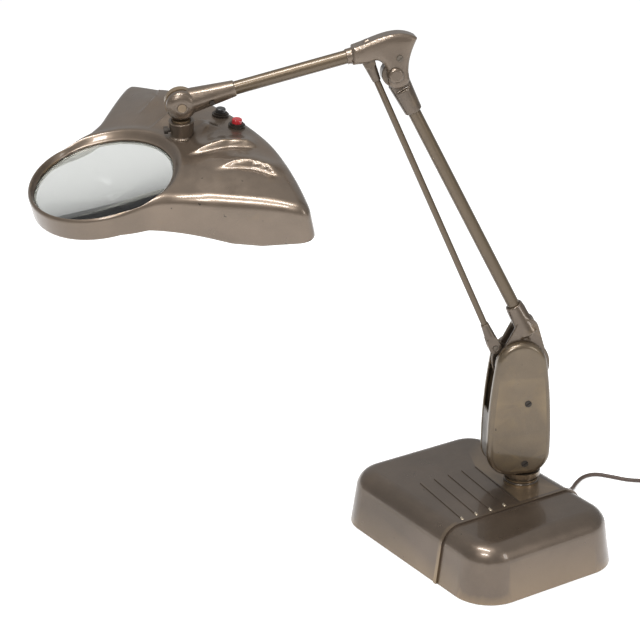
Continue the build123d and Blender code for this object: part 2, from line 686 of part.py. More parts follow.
def upper_tube():
    start = polar(KNUCKLE, 41, 180 - UPPER_TUBE_RISE)
    bar = rod_between(start, upper_socket_end(), UPPER_TUBE_RADIUS)
    return bar - rod_between(KNUCKLE, ELBOW_BEYOND, UPPER_TUBE_RADIUS - 1.2)


ELBOW_BEYOND = polar(KNUCKLE, 300, 180 - UPPER_TUBE_RISE)


# ---------------------------------------------------------------- knuckle frames
TUBE_DIRECTION = Vector(0, cos(radians(UPPER_TUBE_RISE)), sin(radians(UPPER_TUBE_RISE)))
TUBE_UP = Vector(0, -sin(radians(UPPER_TUBE_RISE)), cos(radians(UPPER_TUBE_RISE)))
ROLL = radians(KNUCKLE_ROLL)
LEAN = radians(NECK_LEAN)
KNUCKLE_AXIS = Vector(1, 0, 0) * cos(ROLL) - TUBE_UP * sin(ROLL)
KNUCKLE_UP = TUBE_UP * cos(ROLL) + Vector(1, 0, 0) * sin(ROLL)
NECK_AXIS = KNUCKLE_UP * cos(LEAN) + TUBE_DIRECTION * sin(LEAN)
KNUCKLE_POINT = Vector(0, KNUCKLE[0], KNUCKLE[1])
# sleeve frame: x = knuckle axis, y = along the tube, z = up, origin on the knuckle axis
SLEEVE = Plane(origin=KNUCKLE_POINT, x_dir=KNUCKLE_AXIS, z_dir=KNUCKLE_UP)
# neck frame: x = knuckle axis, z = neck axis
NECK = Plane(origin=KNUCKLE_POINT, x_dir=KNUCKLE_AXIS, z_dir=NECK_AXIS)
# collar frame: origin where the neck axis meets the deck, turned with the head
COLLAR = NECK.location * Pos(0, 0, -NECK_DROP) * Rot(0, 0, HEAD_TURN)
# head frame: origin at the lens centre, z = lens axis, -y = front of the head
HEAD = COLLAR * Rot(LENS_PITCH, 0, 0) * Pos(0, -COLLAR_TO_LENS, -DECK_Z)

SET_SCREW = Pos(9.4, 28, -3.4) * Rot(0, 90, 0)
DISC_LOW = -5.7
DISC_HIGH = 0.7


def knuckle_sleeve():
    """Tapered casting on the upper tube; the neck's disc sits in its slot."""
    stand = (Align.CENTER, Align.CENTER, Align.MIN)
    back = Plane(origin=(0, 0, 0), x_dir=(1, 0, 0), z_dir=(0, 1, 0))
    taper = back.offset(6) * Cone(12.2, 7.6, 46, align=stand)
    end = Rot(0, 90, 0) * Cylinder(KNUCKLE_RADIUS, 2 * KNUCKLE_HALF)
    end = fillet(end.edges(), 5.5)
    slot_half = (DISC_HIGH - DISC_LOW) / 2 + SIDE_GAP
    slot_x = (DISC_HIGH + DISC_LOW) / 2
    body = taper + end
    body -= Pos(slot_x, 0, 0) * Rot(0, 90, 0) * Cylinder(KNUCKLE_RADIUS + 1.2, 2 * slot_half)
    body -= Rot(0, 90, 0) * Cylinder(PIVOT_RADIUS, 60)
    body -= back.offset(41) * Cylinder(UPPER_TUBE_RADIUS, 60, align=stand)
    body -= SET_SCREW * Cylinder(2.2, 2.4)
    return SLEEVE.location * body


def knuckle_pin():
    pin = Rot(0, 90, 0) * Cylinder(PIVOT_RADIUS, 2 * KNUCKLE_HALF - 1)
    return SLEEVE.location * pin


def sleeve_screw():
    """Small set screw that fixes the sleeve on the tube."""
    screw = Cylinder(2.2, 2.4) - Pos(0, 0, 1.2) * Box(5, 0.8, 1.0)
    return SLEEVE.location * (SET_SCREW * screw)


def neck():
    """Disc and round stem: tilts in the knuckle and carries the swivelling head."""
    stand = (Align.CENTER, Align.CENTER, Align.MAX)
    thick = DISC_HIGH - DISC_LOW
    middle = (DISC_HIGH + DISC_LOW) / 2
    disc = Pos(middle, 0, 0) * Rot(0, 90, 0) * Cylinder(KNUCKLE_RADIUS + 0.6, thick)
    tang = Pos(middle, 0, 0) * Box(thick, 17, 16, align=stand)
    stem_low = NECK_DROP + 6.0
    stem = Pos(0, 0, -15.4) * Cylinder(STEM_RADIUS, stem_low - 15.4, align=stand)
    groove = Pos(0, 0, 2.0 - stem_low) * (Cylinder(STEM_RADIUS + 1, 1.2) - Cylinder(STEM_RADIUS - 1, 2))
    body = disc + tang + stem - groove
    body -= Rot(0, 90, 0) * Cylinder(PIVOT_RADIUS + RUNNING, 60)
    return NECK.location * (body - Pos(0, 0, -stem_low) * Cylinder(4, 30))


def neck_clip():
    """Spring clip in the stem's groove, under the deck."""
    ring = Cylinder(STEM_RADIUS + 2.4, 1.0) - Cylinder(STEM_RADIUS - 1, 4)
    ring -= Pos(0, 12, 0) * Box(7, 14, 4)
    return NECK.location * Pos(0, 0, 2.0 - NECK_DROP - 6.0) * ring


# ---------------------------------------------------------------- head
def head_plan(inset):
    """Manta-shaped plan: a ring round the lens that flares into two swept wings."""
    ring = HEAD_RING - inset
    slope = 0.72 * inset
    waist = (ring * cos(radians(4)), -ring * sin(radians(4)))
    bend = (HEAD_BEND[0] - inset, HEAD_BEND[1] - 0.4 * inset)
    flare = (HEAD_FLARE[0] - slope, HEAD_FLARE[1] - slope + 0.9 * inset)
    tip = (HEAD_TIP[0] - 1.2 * inset, HEAD_TIP[1])
    heel = (HEAD_HEEL[0] - inset, HEAD_HEEL[1] - inset)

    def flip(point):
        return (-point[0], point[1])

    edges = [
        ThreePointArc(flip(waist), (0, -ring), waist),
        ThreePointArc(waist, bend, flare),
        Line(flare, tip),
        Line(tip, heel),
        ThreePointArc(heel, (0, HEAD_REAR - inset), flip(heel)),
        Line(flip(heel), flip(tip)),
        Line(flip(tip), flip(flare)),
        ThreePointArc(flip(flare), flip(bend), flip(waist)),
    ]
    return make_face(edges)


DECK_TURN_Y = 105.0
DECK_BACK_FALL = 18.0         # degrees, slope of the deck behind that line
SKIRT = (                     # y, z of the skirt's lower edge, front to rear
    (-76, -16), (-25, -17), (0, -22), (22, -31), (42, -41), (60, -51.5), (80, -57.5), (105, -59), (162, -55),
)


def head_side(inset):
    """Side view of the head: flat deck that falls at the back, and a skirt that deepens."""
    top = 2.5 - inset
    fall = tan(radians(DECK_BACK_FALL))
    low = [(y, z - 20 * (inset > 0)) for y, z in SKIRT]
    rear = (162, top - fall * (162 - DECK_TURN_Y))
    outline = Polyline((-76, top), (DECK_TURN_Y, top), rear, *reversed(low), (-76, top))
    face = make_face(Plane.YZ * outline)
    return Pos(-200, 0, 0) * extrude(face, 400, dir=(1, 0, 0))


def head_front(inset):
    """Front view of the head: the wings droop towards their tips."""
    top = 2.5 - inset
    droop = top - 0.25 * (170 - 58)
    low = -90
    right = ((58, top), (170, droop), (170, low))
    outline = Polyline((-170, low), (-170, droop), (-58, top), *right, (-170, low))
    face = make_face(Plane.XZ * outline)
    return Pos(0, 200, 0) * extrude(face, 400, dir=(0, -1, 0))


def head_block(inset):
    plan = extrude(Pos(0, 0, -90) * head_plan(inset), 100)
    return plan & head_side(inset) & head_front(inset)


def head_shell():
    shell = head_block(0) - head_block(HEAD_WALL)
    well = Cylinder(LENS_RADIUS + 2.0, 13.0) - Cylinder(LENS_RADIUS + 0.3, 20)
    shell += Pos(0, 0, -4.5) * well
    lip = revolve(Plane.XZ * (Pos(APERTURE + 3.2, 1.5) * Circle(3.2)), Axis.Z)
    shell -= Pos(0, 0, -20) * Cylinder(LENS_RADIUS + 0.3, 38)
    shell -= Cylinder(APERTURE + 1.0, 60)
    shell += lip
    shell -= deck_cut(STEM_RADIUS + 0.6)
    for x in (-BUTTON_X, BUTTON_X):
        shell -= button_place(x) * Cylinder(BUTTON_RADIUS + 1.6, 20)
    return HEAD * shell


def deck_cut(radius):
    """Hole for the stem, square to the neck, in the head's own frame."""
    return HEAD.inverse() * COLLAR * Cylinder(radius, 30)


def deck_height(y):
    return 2.5 - tan(radians(DECK_BACK_FALL)) * max(0.0, y - DECK_TURN_Y)


def button_place(x):
    """Frame on the sloping deck at one push button, in the head's own frame."""
    return Pos(x, BUTTON_Y, deck_height(BUTTON_Y)) * Rot(-DECK_BACK_FALL, 0, 0)


def collar():
    """Socket on the deck that turns round the neck's stem."""
    stand = (Align.CENTER, Align.CENTER, Align.MIN)
    body = Cone(10.6, 12.0, COLLAR_HEIGHT, align=stand)
    body += Pos(0, 0, -2.2) * Cylinder(12.6, 3.4, align=stand)
    body -= Cylinder(STEM_RADIUS + RUNNING, 60)
    body -= thumb_place() * Cylinder(2.05, 16, align=stand)
    above = HEAD.inverse() * COLLAR * body
    sole = Pos(0, COLLAR_TO_LENS, 2.5) * Box(60, 60, 60, align=stand)
    return HEAD * (above & sole)


def thumb_place():
    """Frame of the thumb screw, in the collar's own frame, pointing out to the front left."""
    return Pos(0, 0, 7.0) * Rot(0, 0, -115) * Rot(0, 90, 0)


def thumb_screw():
    """Knurled screw that clamps the swivel."""
    stand = (Align.CENTER, Align.CENTER, Align.MIN)
    shank = Pos(0, 0, STEM_RADIUS + 0.4) * Cylinder(2.0, 4.8, align=stand)
    knob = extrude(Pos(0, 0, STEM_RADIUS + 4.4) * RegularPolygon(3.6, 10), 3.6)
    return COLLAR * thumb_place() * (shank + knob)


def lens():
    """Double convex lens."""
    sag = 4.5
    edge = 2.4
    ball = (LENS_RADIUS ** 2 + sag ** 2) / (2 * sag)
    upper = Pos(0, 0, edge + sag - ball) * Sphere(ball)
    lower = Pos(0, 0, ball - edge - sag) * Sphere(ball)
    return HEAD * (Pos(0, 0, -4.8) * (upper & lower & Cylinder(LENS_RADIUS, 40)))


def lens_ring():
    """Retaining ring under the lens."""
    ring = Cylinder(LENS_RADIUS + 0.25, 3.0) - Cylinder(APERTURE - 1.8, 10)
    return HEAD * (Pos(0, 0, -9.2) * ring)


def reflector():
    """White folded trough above the tubes."""
    front, rear = TUBE_YS[0] - 16, TUBE_YS[1] + 16
    foot, roof, slope = TUBE_Z - 8, TUBE_Z + 12, 6
    wall = 0.8
    outer = ((front, foot), (front + slope, roof), (rear - slope, roof), (rear, foot))
    inner = ((rear - wall, foot), (rear - slope - wall, roof - wall), (front + slope + wall, roof - wall),
             (front + wall, foot))
    face = make_face(Plane.YZ * Polyline(*outer, *inner, outer[0]))
    length = TUBE_LENGTH - 2
    return HEAD * (Pos(-length / 2, 0, 0) * extrude(face, length, dir=(1, 0, 0)))


def lamp_tube(y):
    """Straight fluorescent tube with metal end caps and pins."""
    body = Cylinder(TUBE_RADIUS, TUBE_LENGTH - 16)
    for side in (-1, 1):
        body += Pos(0, 0, side * (TUBE_LENGTH / 2 - 4)) * Cylinder(TUBE_RADIUS - 0.4, 8)
        for pin in (-2.4, 2.4):
            body += Pos(pin, 0, side * (TUBE_LENGTH / 2 + 2)) * Cylinder(1.1, 6)
    return HEAD * Pos(0, y, TUBE_Z) * Rot(0, 90, 0) * body


def lamp_holders():
    """Four end holders that the tubes' pins plug into."""
    holders = []
    for y in TUBE_YS:
        for side in (-1, 1):
            holder = Pos(side * (TUBE_LENGTH / 2 + 3.2), y, TUBE_Z + 3) * Box(6, 19, 24)
            for pin in (-2.4, 2.4):
                bar = Pos(side * TUBE_LENGTH / 2, y, TUBE_Z + pin) * Rot(0, 90, 0) * Cylinder(1.15, 30)
                holder -= bar
            holders.append(HEAD * holder)
    return group_of(holders)


def starter():
    body = Cylinder(7.5, 30)
    body += Pos(0, 0, -16.5) * Cylinder(5.5, 3)
    return HEAD * Pos(48, 104, -16.5) * Rot(0, 90, 0) * body


def switch_body(x):
    """Push switch under the deck."""
    stand = (Align.CENTER, Align.CENTER, Align.MAX)
    body = Pos(0, 0, -3.4) * Box(17, 13, 12, align=stand)
    body += Pos(0, 0, -1.9) * Cylinder(6.2, 1.5, align=stand)
    return HEAD * button_place(x) * (body - Pos(0, 0, -6.8) * Cylinder(BUTTON_RADIUS + 0.3, 10))


def button_bushings():
    """Threaded bushings that clamp the switches to the deck."""
    stand = (Align.CENTER, Align.CENTER, Align.MIN)
    ring = Cylinder(8.0, 2.0, align=stand)
    ring += Pos(0, 0, -1.8) * Cylinder(BUTTON_RADIUS + 1.5, 5.4, align=stand)
    ring -= Cylinder(BUTTON_RADIUS + 0.3, 40)
    return group_of([HEAD * button_place(x) * ring for x in (-BUTTON_X, BUTTON_X)])


def push_button(x):
    stand = (Align.CENTER, Align.CENTER, Align.MIN)
    cap = Cylinder(BUTTON_RADIUS, 11.9 + BUTTON_TRAVEL, align=stand)
    cap = fillet(cap.edges().sort_by(Axis.Z)[-1], 1.4)
    return HEAD * button_place(x) * Pos(0, 0, -6.6) * cap


# ---------------------------------------------------------------- write the parts
BASE_PARTS = {
    "base_shell": base_shell,
    "bottom_plate": bottom_plate,
    "felt_pad": felt_pad,
    "base_screws": base_screws,
    "base_weight": base_weight,
    "ballast": ballast,
    "swivel_post": swivel_post,
    "post_nut": post_nut,
    "base_hub": base_hub,
    "thrust_washer": thrust_washer,
    "cord_bushing": cord_bushing,
    "power_cord": power_cord,
    "cord_coil": cord_coil,
    "plug_body": plug_body,
    "plug_blades": plug_blades,
}
ARM_PARTS = {
    "housing_frame": housing_frame,
    "left_cover": left_cover,
    "right_cover": right_cover,
    "cover_screws": cover_screws,
    "front_strip": lambda: edge_strip("front"),
    "rear_strip": lambda: edge_strip("rear"),
    "shoulder_pin": shoulder_pin,
    "anchor_pin": anchor_pin,
    "left_spring": lambda: counter_spring(-1),
    "right_spring": lambda: counter_spring(1),
    "lower_foot": lower_foot,
    "lower_tube": lower_tube,
    "elbow_barrel": elbow_barrel,
    "crank": crank,
    "spring_pin": spring_pin,
    "lower_link_pin": lower_link_pin,
    "lower_rod_fork": lower_rod_fork,
    "link_rod": link_rod,
    "upper_rod_fork": upper_rod_fork,
    "elbow_casting": elbow_casting,
    "elbow_pin": elbow_pin,
    "elbow_screw": elbow_screw,
    "upper_link_pin": upper_link_pin,
    "upper_tube": upper_tube,
    "knuckle_sleeve": knuckle_sleeve,
    "knuckle_pin": knuckle_pin,
    "sleeve_screw": sleeve_screw,
    "neck": neck,
    "neck_clip": neck_clip,
    "collar": collar,
    "thumb_screw": thumb_screw,
    "head_shell": head_shell,
    "lens": lens,
    "lens_ring": lens_ring,
    "reflector": reflector,
    "front_lamp_tube": lambda: lamp_tube(TUBE_YS[0]),
    "rear_lamp_tube": lambda: lamp_tube(TUBE_YS[1]),
    "lamp_holders": lamp_holders,
    "starter": starter,
    "start_switch": lambda: switch_body(BUTTON_X),
    "stop_switch": lambda: switch_body(-BUTTON_X),
    "button_bushings": button_bushings,
    "start_button": lambda: push_button(BUTTON_X),
    "stop_button": lambda: push_button(-BUTTON_X),
}


def main():
    os.makedirs("parts", exist_ok=True)
    for name, build in BASE_PARTS.items():
        export_step(build(), f"parts/{name}.step")
    for name, build in ARM_PARTS.items():
        export_step(TO_WORLD * build(), f"parts/{name}.step")


main()
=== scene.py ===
import json
import math

import bpy
import numpy as np
from mathutils import Matrix, Vector


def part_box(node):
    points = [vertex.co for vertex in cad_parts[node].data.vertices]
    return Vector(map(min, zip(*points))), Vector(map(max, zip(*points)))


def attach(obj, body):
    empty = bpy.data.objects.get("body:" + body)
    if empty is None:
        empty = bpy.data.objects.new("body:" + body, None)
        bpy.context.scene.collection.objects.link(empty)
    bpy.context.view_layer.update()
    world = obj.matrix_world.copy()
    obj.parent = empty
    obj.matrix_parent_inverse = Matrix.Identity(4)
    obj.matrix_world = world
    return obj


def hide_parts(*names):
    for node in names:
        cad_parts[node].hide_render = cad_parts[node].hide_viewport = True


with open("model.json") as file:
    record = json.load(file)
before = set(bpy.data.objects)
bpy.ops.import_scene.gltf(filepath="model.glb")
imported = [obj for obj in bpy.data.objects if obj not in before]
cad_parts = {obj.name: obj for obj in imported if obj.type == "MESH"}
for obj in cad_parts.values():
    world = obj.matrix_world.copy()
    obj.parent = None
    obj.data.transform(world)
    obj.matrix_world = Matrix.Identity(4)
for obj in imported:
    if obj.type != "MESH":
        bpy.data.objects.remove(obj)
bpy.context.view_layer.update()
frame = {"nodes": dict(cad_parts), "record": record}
nodes = frame["nodes"]
record = frame["record"]
MM = 0.001


# ---------------------------------------------------------------- camera
TARGET = Vector((-0.0885, -0.1874, 0.2459))
AZIMUTH = math.radians(56.8)
ELEVATION = math.radians(21.8)
DISTANCE = 1.9
FOCAL_LENGTH = 109.9
SENSOR_WIDTH = 36.0


def make_camera():
    back = Vector((math.sin(AZIMUTH) * math.cos(ELEVATION), -math.cos(AZIMUTH) * math.cos(ELEVATION),
                   math.sin(ELEVATION)))
    data = bpy.data.cameras.new("camera")
    data.lens = FOCAL_LENGTH
    data.sensor_width = SENSOR_WIDTH
    camera = bpy.data.objects.new("camera", data)
    camera.location = TARGET + back * DISTANCE
    camera.rotation_euler = (-back).to_track_quat("-Z", "Y").to_euler()
    bpy.context.collection.objects.link(camera)
    bpy.context.scene.camera = camera


make_camera()


# ---------------------------------------------------------------- cord
CORD_DIAMETER = 4.2 * MM
CORD_ROUTE = (
    (-28, 68, 11), (-28, 84, 11), (-36, 101, 4.5), (-48, 116, 2.3), (-57, 134, 2.3), (-55, 150, 2.3),
    (-40, 160, 2.3), (-23, 170, 2.3), (-10, 187, 2.3), (-4, 208, 2.3), (-2, 229, 2.3),
)
COIL_CENTRE = (24, 246)
COIL_RADII = (27.0, 22.7, 18.4, 18.4, 22.7, 27.0, 27.0, 22.7, 18.4, 18.4, 27.0)
COIL_LAYERS = (0, 0, 0, 1, 1, 1, 2, 2, 2, 3, 3)
COIL_PITCH = 4.25
COIL_LOWEST = 2.3
TURN_POINTS = 16
STEP_FROM = 0.6          # share of a turn after which it steps over to the next
CORD_TAIL = ((4.5, 265.5, 14.2), (12, 274.0, 11.5), (24, 278.6, 9.0), (36, 279, 8.0))


def coil_points():
    """The put-away turns: clockwise, out and in, layer on layer."""
    points = []
    turns = len(COIL_RADII)
    for step in range(turns * TURN_POINTS):
        turn, part = divmod(step, TURN_POINTS)
        after = min(turn + 1, turns - 1)
        share = min(1.0, max(0.0, (part / TURN_POINTS - STEP_FROM) / 0.4))
        radius = COIL_RADII[turn] + (COIL_RADII[after] - COIL_RADII[turn]) * share
        layer = COIL_LAYERS[turn] + (COIL_LAYERS[after] - COIL_LAYERS[turn]) * share
        angle = math.pi - 2 * math.pi * part / TURN_POINTS
        points.append((COIL_CENTRE[0] + radius * math.cos(angle), COIL_CENTRE[1] + radius * math.sin(angle),
                       COIL_LOWEST + COIL_PITCH * layer))
    return points


def make_cord(material):
    points = [*CORD_ROUTE, *coil_points(), *CORD_TAIL]
    curve = bpy.data.curves.new("cord", "CURVE")
    curve.dimensions = "3D"
    spline = curve.splines.new("NURBS")
    spline.points.add(len(points) - 1)
    for place, point in zip(spline.points, points):
        place.co = (point[0] * MM, point[1] * MM, point[2] * MM, 1.0)
    spline.order_u = 3
    spline.use_endpoint_u = True
    spline.resolution_u = 6
    curve.bevel_depth = CORD_DIAMETER / 2
    curve.bevel_resolution = 5
    curve.use_fill_caps = True
    cord = bpy.data.objects.new("cord", curve)
    bpy.context.collection.objects.link(cord)
    curve.materials.append(material)
    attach(cord, "base")
    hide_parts("power_cord", "cord_coil")


# ---------------------------------------------------------------- materials
def main_shader(material):
    return next(node for node in material.node_tree.nodes if node.type == "BSDF_PRINCIPLED")


def new_material(name):
    material = bpy.data.materials.new(name)
    material.use_nodes = True
    return material, material.node_tree, main_shader(material)


def noise(tree, scale, detail=4.0, roughness=0.55):
    """Noise in the object's own coordinates."""
    place = tree.nodes.new("ShaderNodeTexCoord")
    texture = tree.nodes.new("ShaderNodeTexNoise")
    texture.inputs["Scale"].default_value = scale
    texture.inputs["Detail"].default_value = detail
    texture.inputs["Roughness"].default_value = roughness
    tree.links.new(place.outputs["Object"], texture.inputs["Vector"])
    return texture.outputs["Fac"]


def ramp(tree, source, low, high, from_value=0.0, to_value=1.0):
    """Maps source between low and high to the two values."""
    node = tree.nodes.new("ShaderNodeMapRange")
    node.inputs["From Min"].default_value = low
    node.inputs["From Max"].default_value = high
    node.inputs["To Min"].default_value = from_value
    node.inputs["To Max"].default_value = to_value
    tree.links.new(source, node.inputs["Value"])
    return node.outputs["Result"]


def mix(tree, share, first, second):
    """Mixes two colours; each is a colour or an output."""
    node = tree.nodes.new("ShaderNodeMix")
    node.data_type = "RGBA"
    tree.links.new(share, node.inputs["Factor"])
    for value, socket in ((first, node.inputs["A"]), (second, node.inputs["B"])):
        if isinstance(value, tuple):
            socket.default_value = (*value, 1.0)
        else:
            tree.links.new(value, socket)
    return node.outputs["Result"]


def bump(tree, shader, height, strength, distance):
    node = tree.nodes.new("ShaderNodeBump")
    node.inputs["Strength"].default_value = strength
    node.inputs["Distance"].default_value = distance
    tree.links.new(height, node.inputs["Height"])
    tree.links.new(node.outputs["Normal"], shader.inputs["Normal"])


def shade(colour, factor):
    """The colour made darker or lighter, no brighter than white."""
    return tuple(min(1.0, value * factor) for value in colour)


def edge_wear(tree, low, high):
    """One on the sharpest edges, where a hand has rubbed the paint."""
    geometry = tree.nodes.new("ShaderNodeNewGeometry")
    return ramp(tree, geometry.outputs["Pointiness"], low, high)


BARE_CHIP = (0.05, 0.04, 0.03)


def bronze_paint(name, colour, worn, metallic=0.72, roughness=0.32, coat=0.45, wear=0.5, chips=0.76):
    """Glossy metallic paint: faint flake, cloudy tone, rubbed golden patches and small chips."""
    material, tree, shader = new_material(name)
    cloud = ramp(tree, noise(tree, 14.0, 5.0), 0.42, 0.66)
    flake = ramp(tree, noise(tree, 2600.0, 1.0), 0.3, 0.7)
    rubbed = ramp(tree, noise(tree, 38.0, 6.0, 0.62), wear, wear + 0.22)
    tone = mix(tree, cloud, shade(colour, 0.86), shade(colour, 1.10))
    tone = mix(tree, ramp(tree, flake, 0.62, 1.0, 0.0, 0.5), tone, shade(colour, 1.3))
    tone = mix(tree, ramp(tree, rubbed, 0.0, 1.0, 0.0, 0.6), tone, worn)
    tone = mix(tree, edge_wear(tree, 0.53, 0.62), tone, shade(worn, 1.35))
    chip = ramp(tree, noise(tree, 150.0, 2.0), chips, chips + 0.015)
    tone = mix(tree, chip, tone, BARE_CHIP)
    tree.links.new(tone, shader.inputs["Base Color"])
    shader.inputs["Metallic"].default_value = metallic
    rough = ramp(tree, noise(tree, 60.0, 5.0), 0.3, 0.75, roughness * 0.85, roughness * 1.3)
    tree.links.new(rough, shader.inputs["Roughness"])
    shader.inputs["Coat Weight"].default_value = coat
    shader.inputs["Coat Roughness"].default_value = 0.05
    bump(tree, shader, noise(tree, 420.0, 2.0), 0.06, 0.0004)
    return material


def plain(name, colour, metallic=0.0, roughness=0.5, coat=0.0, grain=300.0, vary=0.15, relief=0.1):
    """Material with a little cloudy tone and a fine surface relief."""
    material, tree, shader = new_material(name)
    cloud = ramp(tree, noise(tree, grain / 6, 4.0), 0.35, 0.65)
    tone = mix(tree, cloud, shade(colour, 1 - vary), shade(colour, 1 + vary))
    tree.links.new(tone, shader.inputs["Base Color"])
    shader.inputs["Metallic"].default_value = metallic
    rough = ramp(tree, noise(tree, grain / 3, 3.0), 0.3, 0.7, roughness * 0.85, min(1.0, roughness * 1.15))
    tree.links.new(rough, shader.inputs["Roughness"])
    shader.inputs["Coat Weight"].default_value = coat
    bump(tree, shader, noise(tree, grain, 3.0), relief, 0.0003)
    return material


def glass(name, colour, roughness=0.02):
    material, tree, shader = new_material(name)
    shader.inputs["Base Color"].default_value = (*colour, 1.0)
    shader.inputs["Transmission Weight"].default_value = 1.0
    shader.inputs["IOR"].default_value = 1.5
    smear = ramp(tree, noise(tree, 26.0, 4.0), 0.45, 0.8, roughness, roughness * 5)
    tree.links.new(smear, shader.inputs["Roughness"])
    return material


TAUPE = (0.140, 0.106, 0.078)
GOLDEN = (0.165, 0.118, 0.070)
PAINT = bronze_paint("taupe_paint", TAUPE, GOLDEN, wear=0.6)
MATERIALS = {
    "cast_alloy": PAINT,
    "painted_steel": bronze_paint("shell_paint", (0.108, 0.081, 0.060), GOLDEN, wear=0.64),
    "bronze_tube": bronze_paint("tube_paint", (0.050, 0.036, 0.024), (0.068, 0.048, 0.028), metallic=0.6,
                                roughness=0.38, wear=0.5),
    "painted_cast": bronze_paint("dark_paint", (0.09, 0.07, 0.052), GOLDEN, wear=0.6),
    "steel": plain("steel", (0.13, 0.11, 0.09), metallic=0.9, roughness=0.38),
    "iron": plain("iron", (0.06, 0.06, 0.06), roughness=0.7),
    "lens_glass": glass("lens_glass", (0.53, 0.54, 0.525)),
    "lamp_glass": plain("lamp_glass", (0.85, 0.85, 0.83), roughness=0.25, coat=0.5),
    "white_enamel": plain("white_enamel", (0.80, 0.79, 0.74), roughness=0.35, coat=0.3),
    "black_plastic": plain("black_plastic", (0.018, 0.018, 0.018), roughness=0.3, coat=0.3),
    "red_plastic": plain("red_plastic", (0.36, 0.015, 0.02), roughness=0.28, coat=0.4),
    "felt": plain("felt", (0.05, 0.07, 0.05), roughness=0.95, grain=900.0, relief=0.6),
    "cord_rubber": plain("cord_rubber", (0.055, 0.035, 0.025), roughness=0.55, grain=700.0),
    "brass": plain("brass", (0.62, 0.46, 0.20), metallic=1.0, roughness=0.3),
}
COVER_PAINT = bronze_paint("cover_paint", (0.115, 0.086, 0.056), (0.150, 0.107, 0.058), wear=0.50, chips=0.74)
STRIP_PAINT = bronze_paint("strip_paint", (0.045, 0.043, 0.040), (0.06, 0.05, 0.04), metallic=0.0,
                           roughness=0.5, coat=0.1, wear=0.6)
TUBE_CAST = bronze_paint("arm_cast_paint", (0.098, 0.074, 0.054), GOLDEN, wear=0.58)
# Bright paint for the rib-end hooks: a painted highlight, far lighter than the casting's own paint.
PAINTED_TIP_HIGHLIGHT = bronze_paint("painted_tip_highlight", (0.42, 0.35, 0.26), (0.50, 0.42, 0.30), wear=0.5)
SCREW_PAINT = plain("screw_paint", (0.035, 0.028, 0.022), metallic=0.5, roughness=0.45)
OWN_MATERIAL = {
    "left_cover": COVER_PAINT, "right_cover": COVER_PAINT,
    "front_strip": STRIP_PAINT, "rear_strip": STRIP_PAINT,
    "cover_screws": SCREW_PAINT, "sleeve_screw": SCREW_PAINT, "thumb_screw": SCREW_PAINT,
    "button_bushings": SCREW_PAINT,
    "knuckle_pin": PAINT, "elbow_pin": PAINT,
    "lens_ring": MATERIALS["white_enamel"], "neck": MATERIALS["painted_cast"],
    "elbow_barrel": TUBE_CAST, "lower_foot": TUBE_CAST,
    "lower_rod_fork": TUBE_CAST, "upper_rod_fork": TUBE_CAST,
}

make_cord(MATERIALS["cord_rubber"])
SLOTS = {part["node"]: part["material_slot"] for part in record["subparts"]}


def material_of(node_name):
    return OWN_MATERIAL.get(node_name, MATERIALS[SLOTS[node_name]])


for node_name, node in nodes.items():
    for slot in node.material_slots:
        slot.material = material_of(node_name)


# ---------------------------------------------------------------- mesh helpers
def smooth(mesh):
    mesh.polygons.foreach_set("use_smooth", [True] * len(mesh.polygons))


def piece_from(name, vertices, faces, material, body, replaced=()):
    mesh = bpy.data.meshes.new(name)
    mesh.from_pydata([tuple(vertex) for vertex in vertices], [], faces)
    smooth(mesh)
    mesh.update()
    piece = bpy.data.objects.new(name, mesh)
    bpy.context.collection.objects.link(piece)
    mesh.materials.append(material)
    finish_piece(piece, body, replaced)
    return piece


def finish_piece(piece, body, replaced):
    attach(piece, body)
    if replaced:
        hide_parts(*replaced)


def bake_modifiers(piece):
    """Keeps the shape that the modifiers give, and removes them."""
    graph = bpy.context.evaluated_depsgraph_get()
    mesh = bpy.data.meshes.new_from_object(piece.evaluated_get(graph))
    piece.modifiers.clear()
    piece.data = mesh
    smooth(mesh)


def casting(node_name, body, voxel, rounds, shape=None):
    """Softly rounded copy of a casting: its sharp edges become the radii of a sand casting."""
    mesh = nodes[node_name].data.copy()
    piece = bpy.data.objects.new(node_name + "_cast", mesh)
    bpy.context.collection.objects.link(piece)
    remesh = piece.modifiers.new("remesh", "REMESH")
    remesh.mode = "VOXEL"
    remesh.voxel_size = voxel * MM
    relax = piece.modifiers.new("relax", "SMOOTH")
    relax.factor = 0.5
    relax.iterations = rounds
    bake_modifiers(piece)
    if shape:
        shape(piece.data)
    piece.data.materials.clear()
    piece.data.materials.append(material_of(node_name))
    finish_piece(piece, body, (node_name,))


def ease(low, high, value):
    share = np.clip((value - low) / (high - low), 0.0, 1.0)
    return share * share * (3 - 2 * share)


def soft_ramp(value, softness):
    """Zero below nought and the value itself above it, with a soft bend."""
    return softness * np.logaddexp(0.0, value / softness)


# ---------------------------------------------------------------- head shell, in its own frame, millimetres
HEAD_PITCH = math.radians(17.42)
HEAD_ROLL = math.radians(8.72)
LENS_BELOW = 4.8
HOLE = 65.0
RING = 70.0
REAR = 153.5
REAR_ARC = 375.0
WALL = 1.4
HOLE_DEPTHS = (-11.0, -8.0, -5.6)
DECK_ROWS = 64
SKIRT_ROWS = 16
EDGE_RADIUS = 3.6        # at the nose
EDGE_GROWTH = 7.4        # wider than that at the wings
lens_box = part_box("lens")
HEAD_TURN = Matrix.Rotation(HEAD_PITCH, 4, "X") @ Matrix.Rotation(HEAD_ROLL, 4, "Y")
LENS_CENTRE = (Vector(lens_box[0]) + Vector(lens_box[1])) / 2
HEAD = Matrix.Translation(LENS_CENTRE) @ HEAD_TURN @ Matrix.Translation((0, 0, LENS_BELOW * MM))


def bezier(start, lead, trail, end, count):
    """Points of a cubic curve, without its last one."""
    share = np.linspace(0, 1, count, endpoint=False)[:, None]
    start, lead, trail, end = (np.array(point, float) for point in (start, lead, trail, end))
    return ((1 - share) ** 3 * start + 3 * (1 - share) ** 2 * share * lead
            + 3 * (1 - share) * share ** 2 * trail + share ** 3 * end)


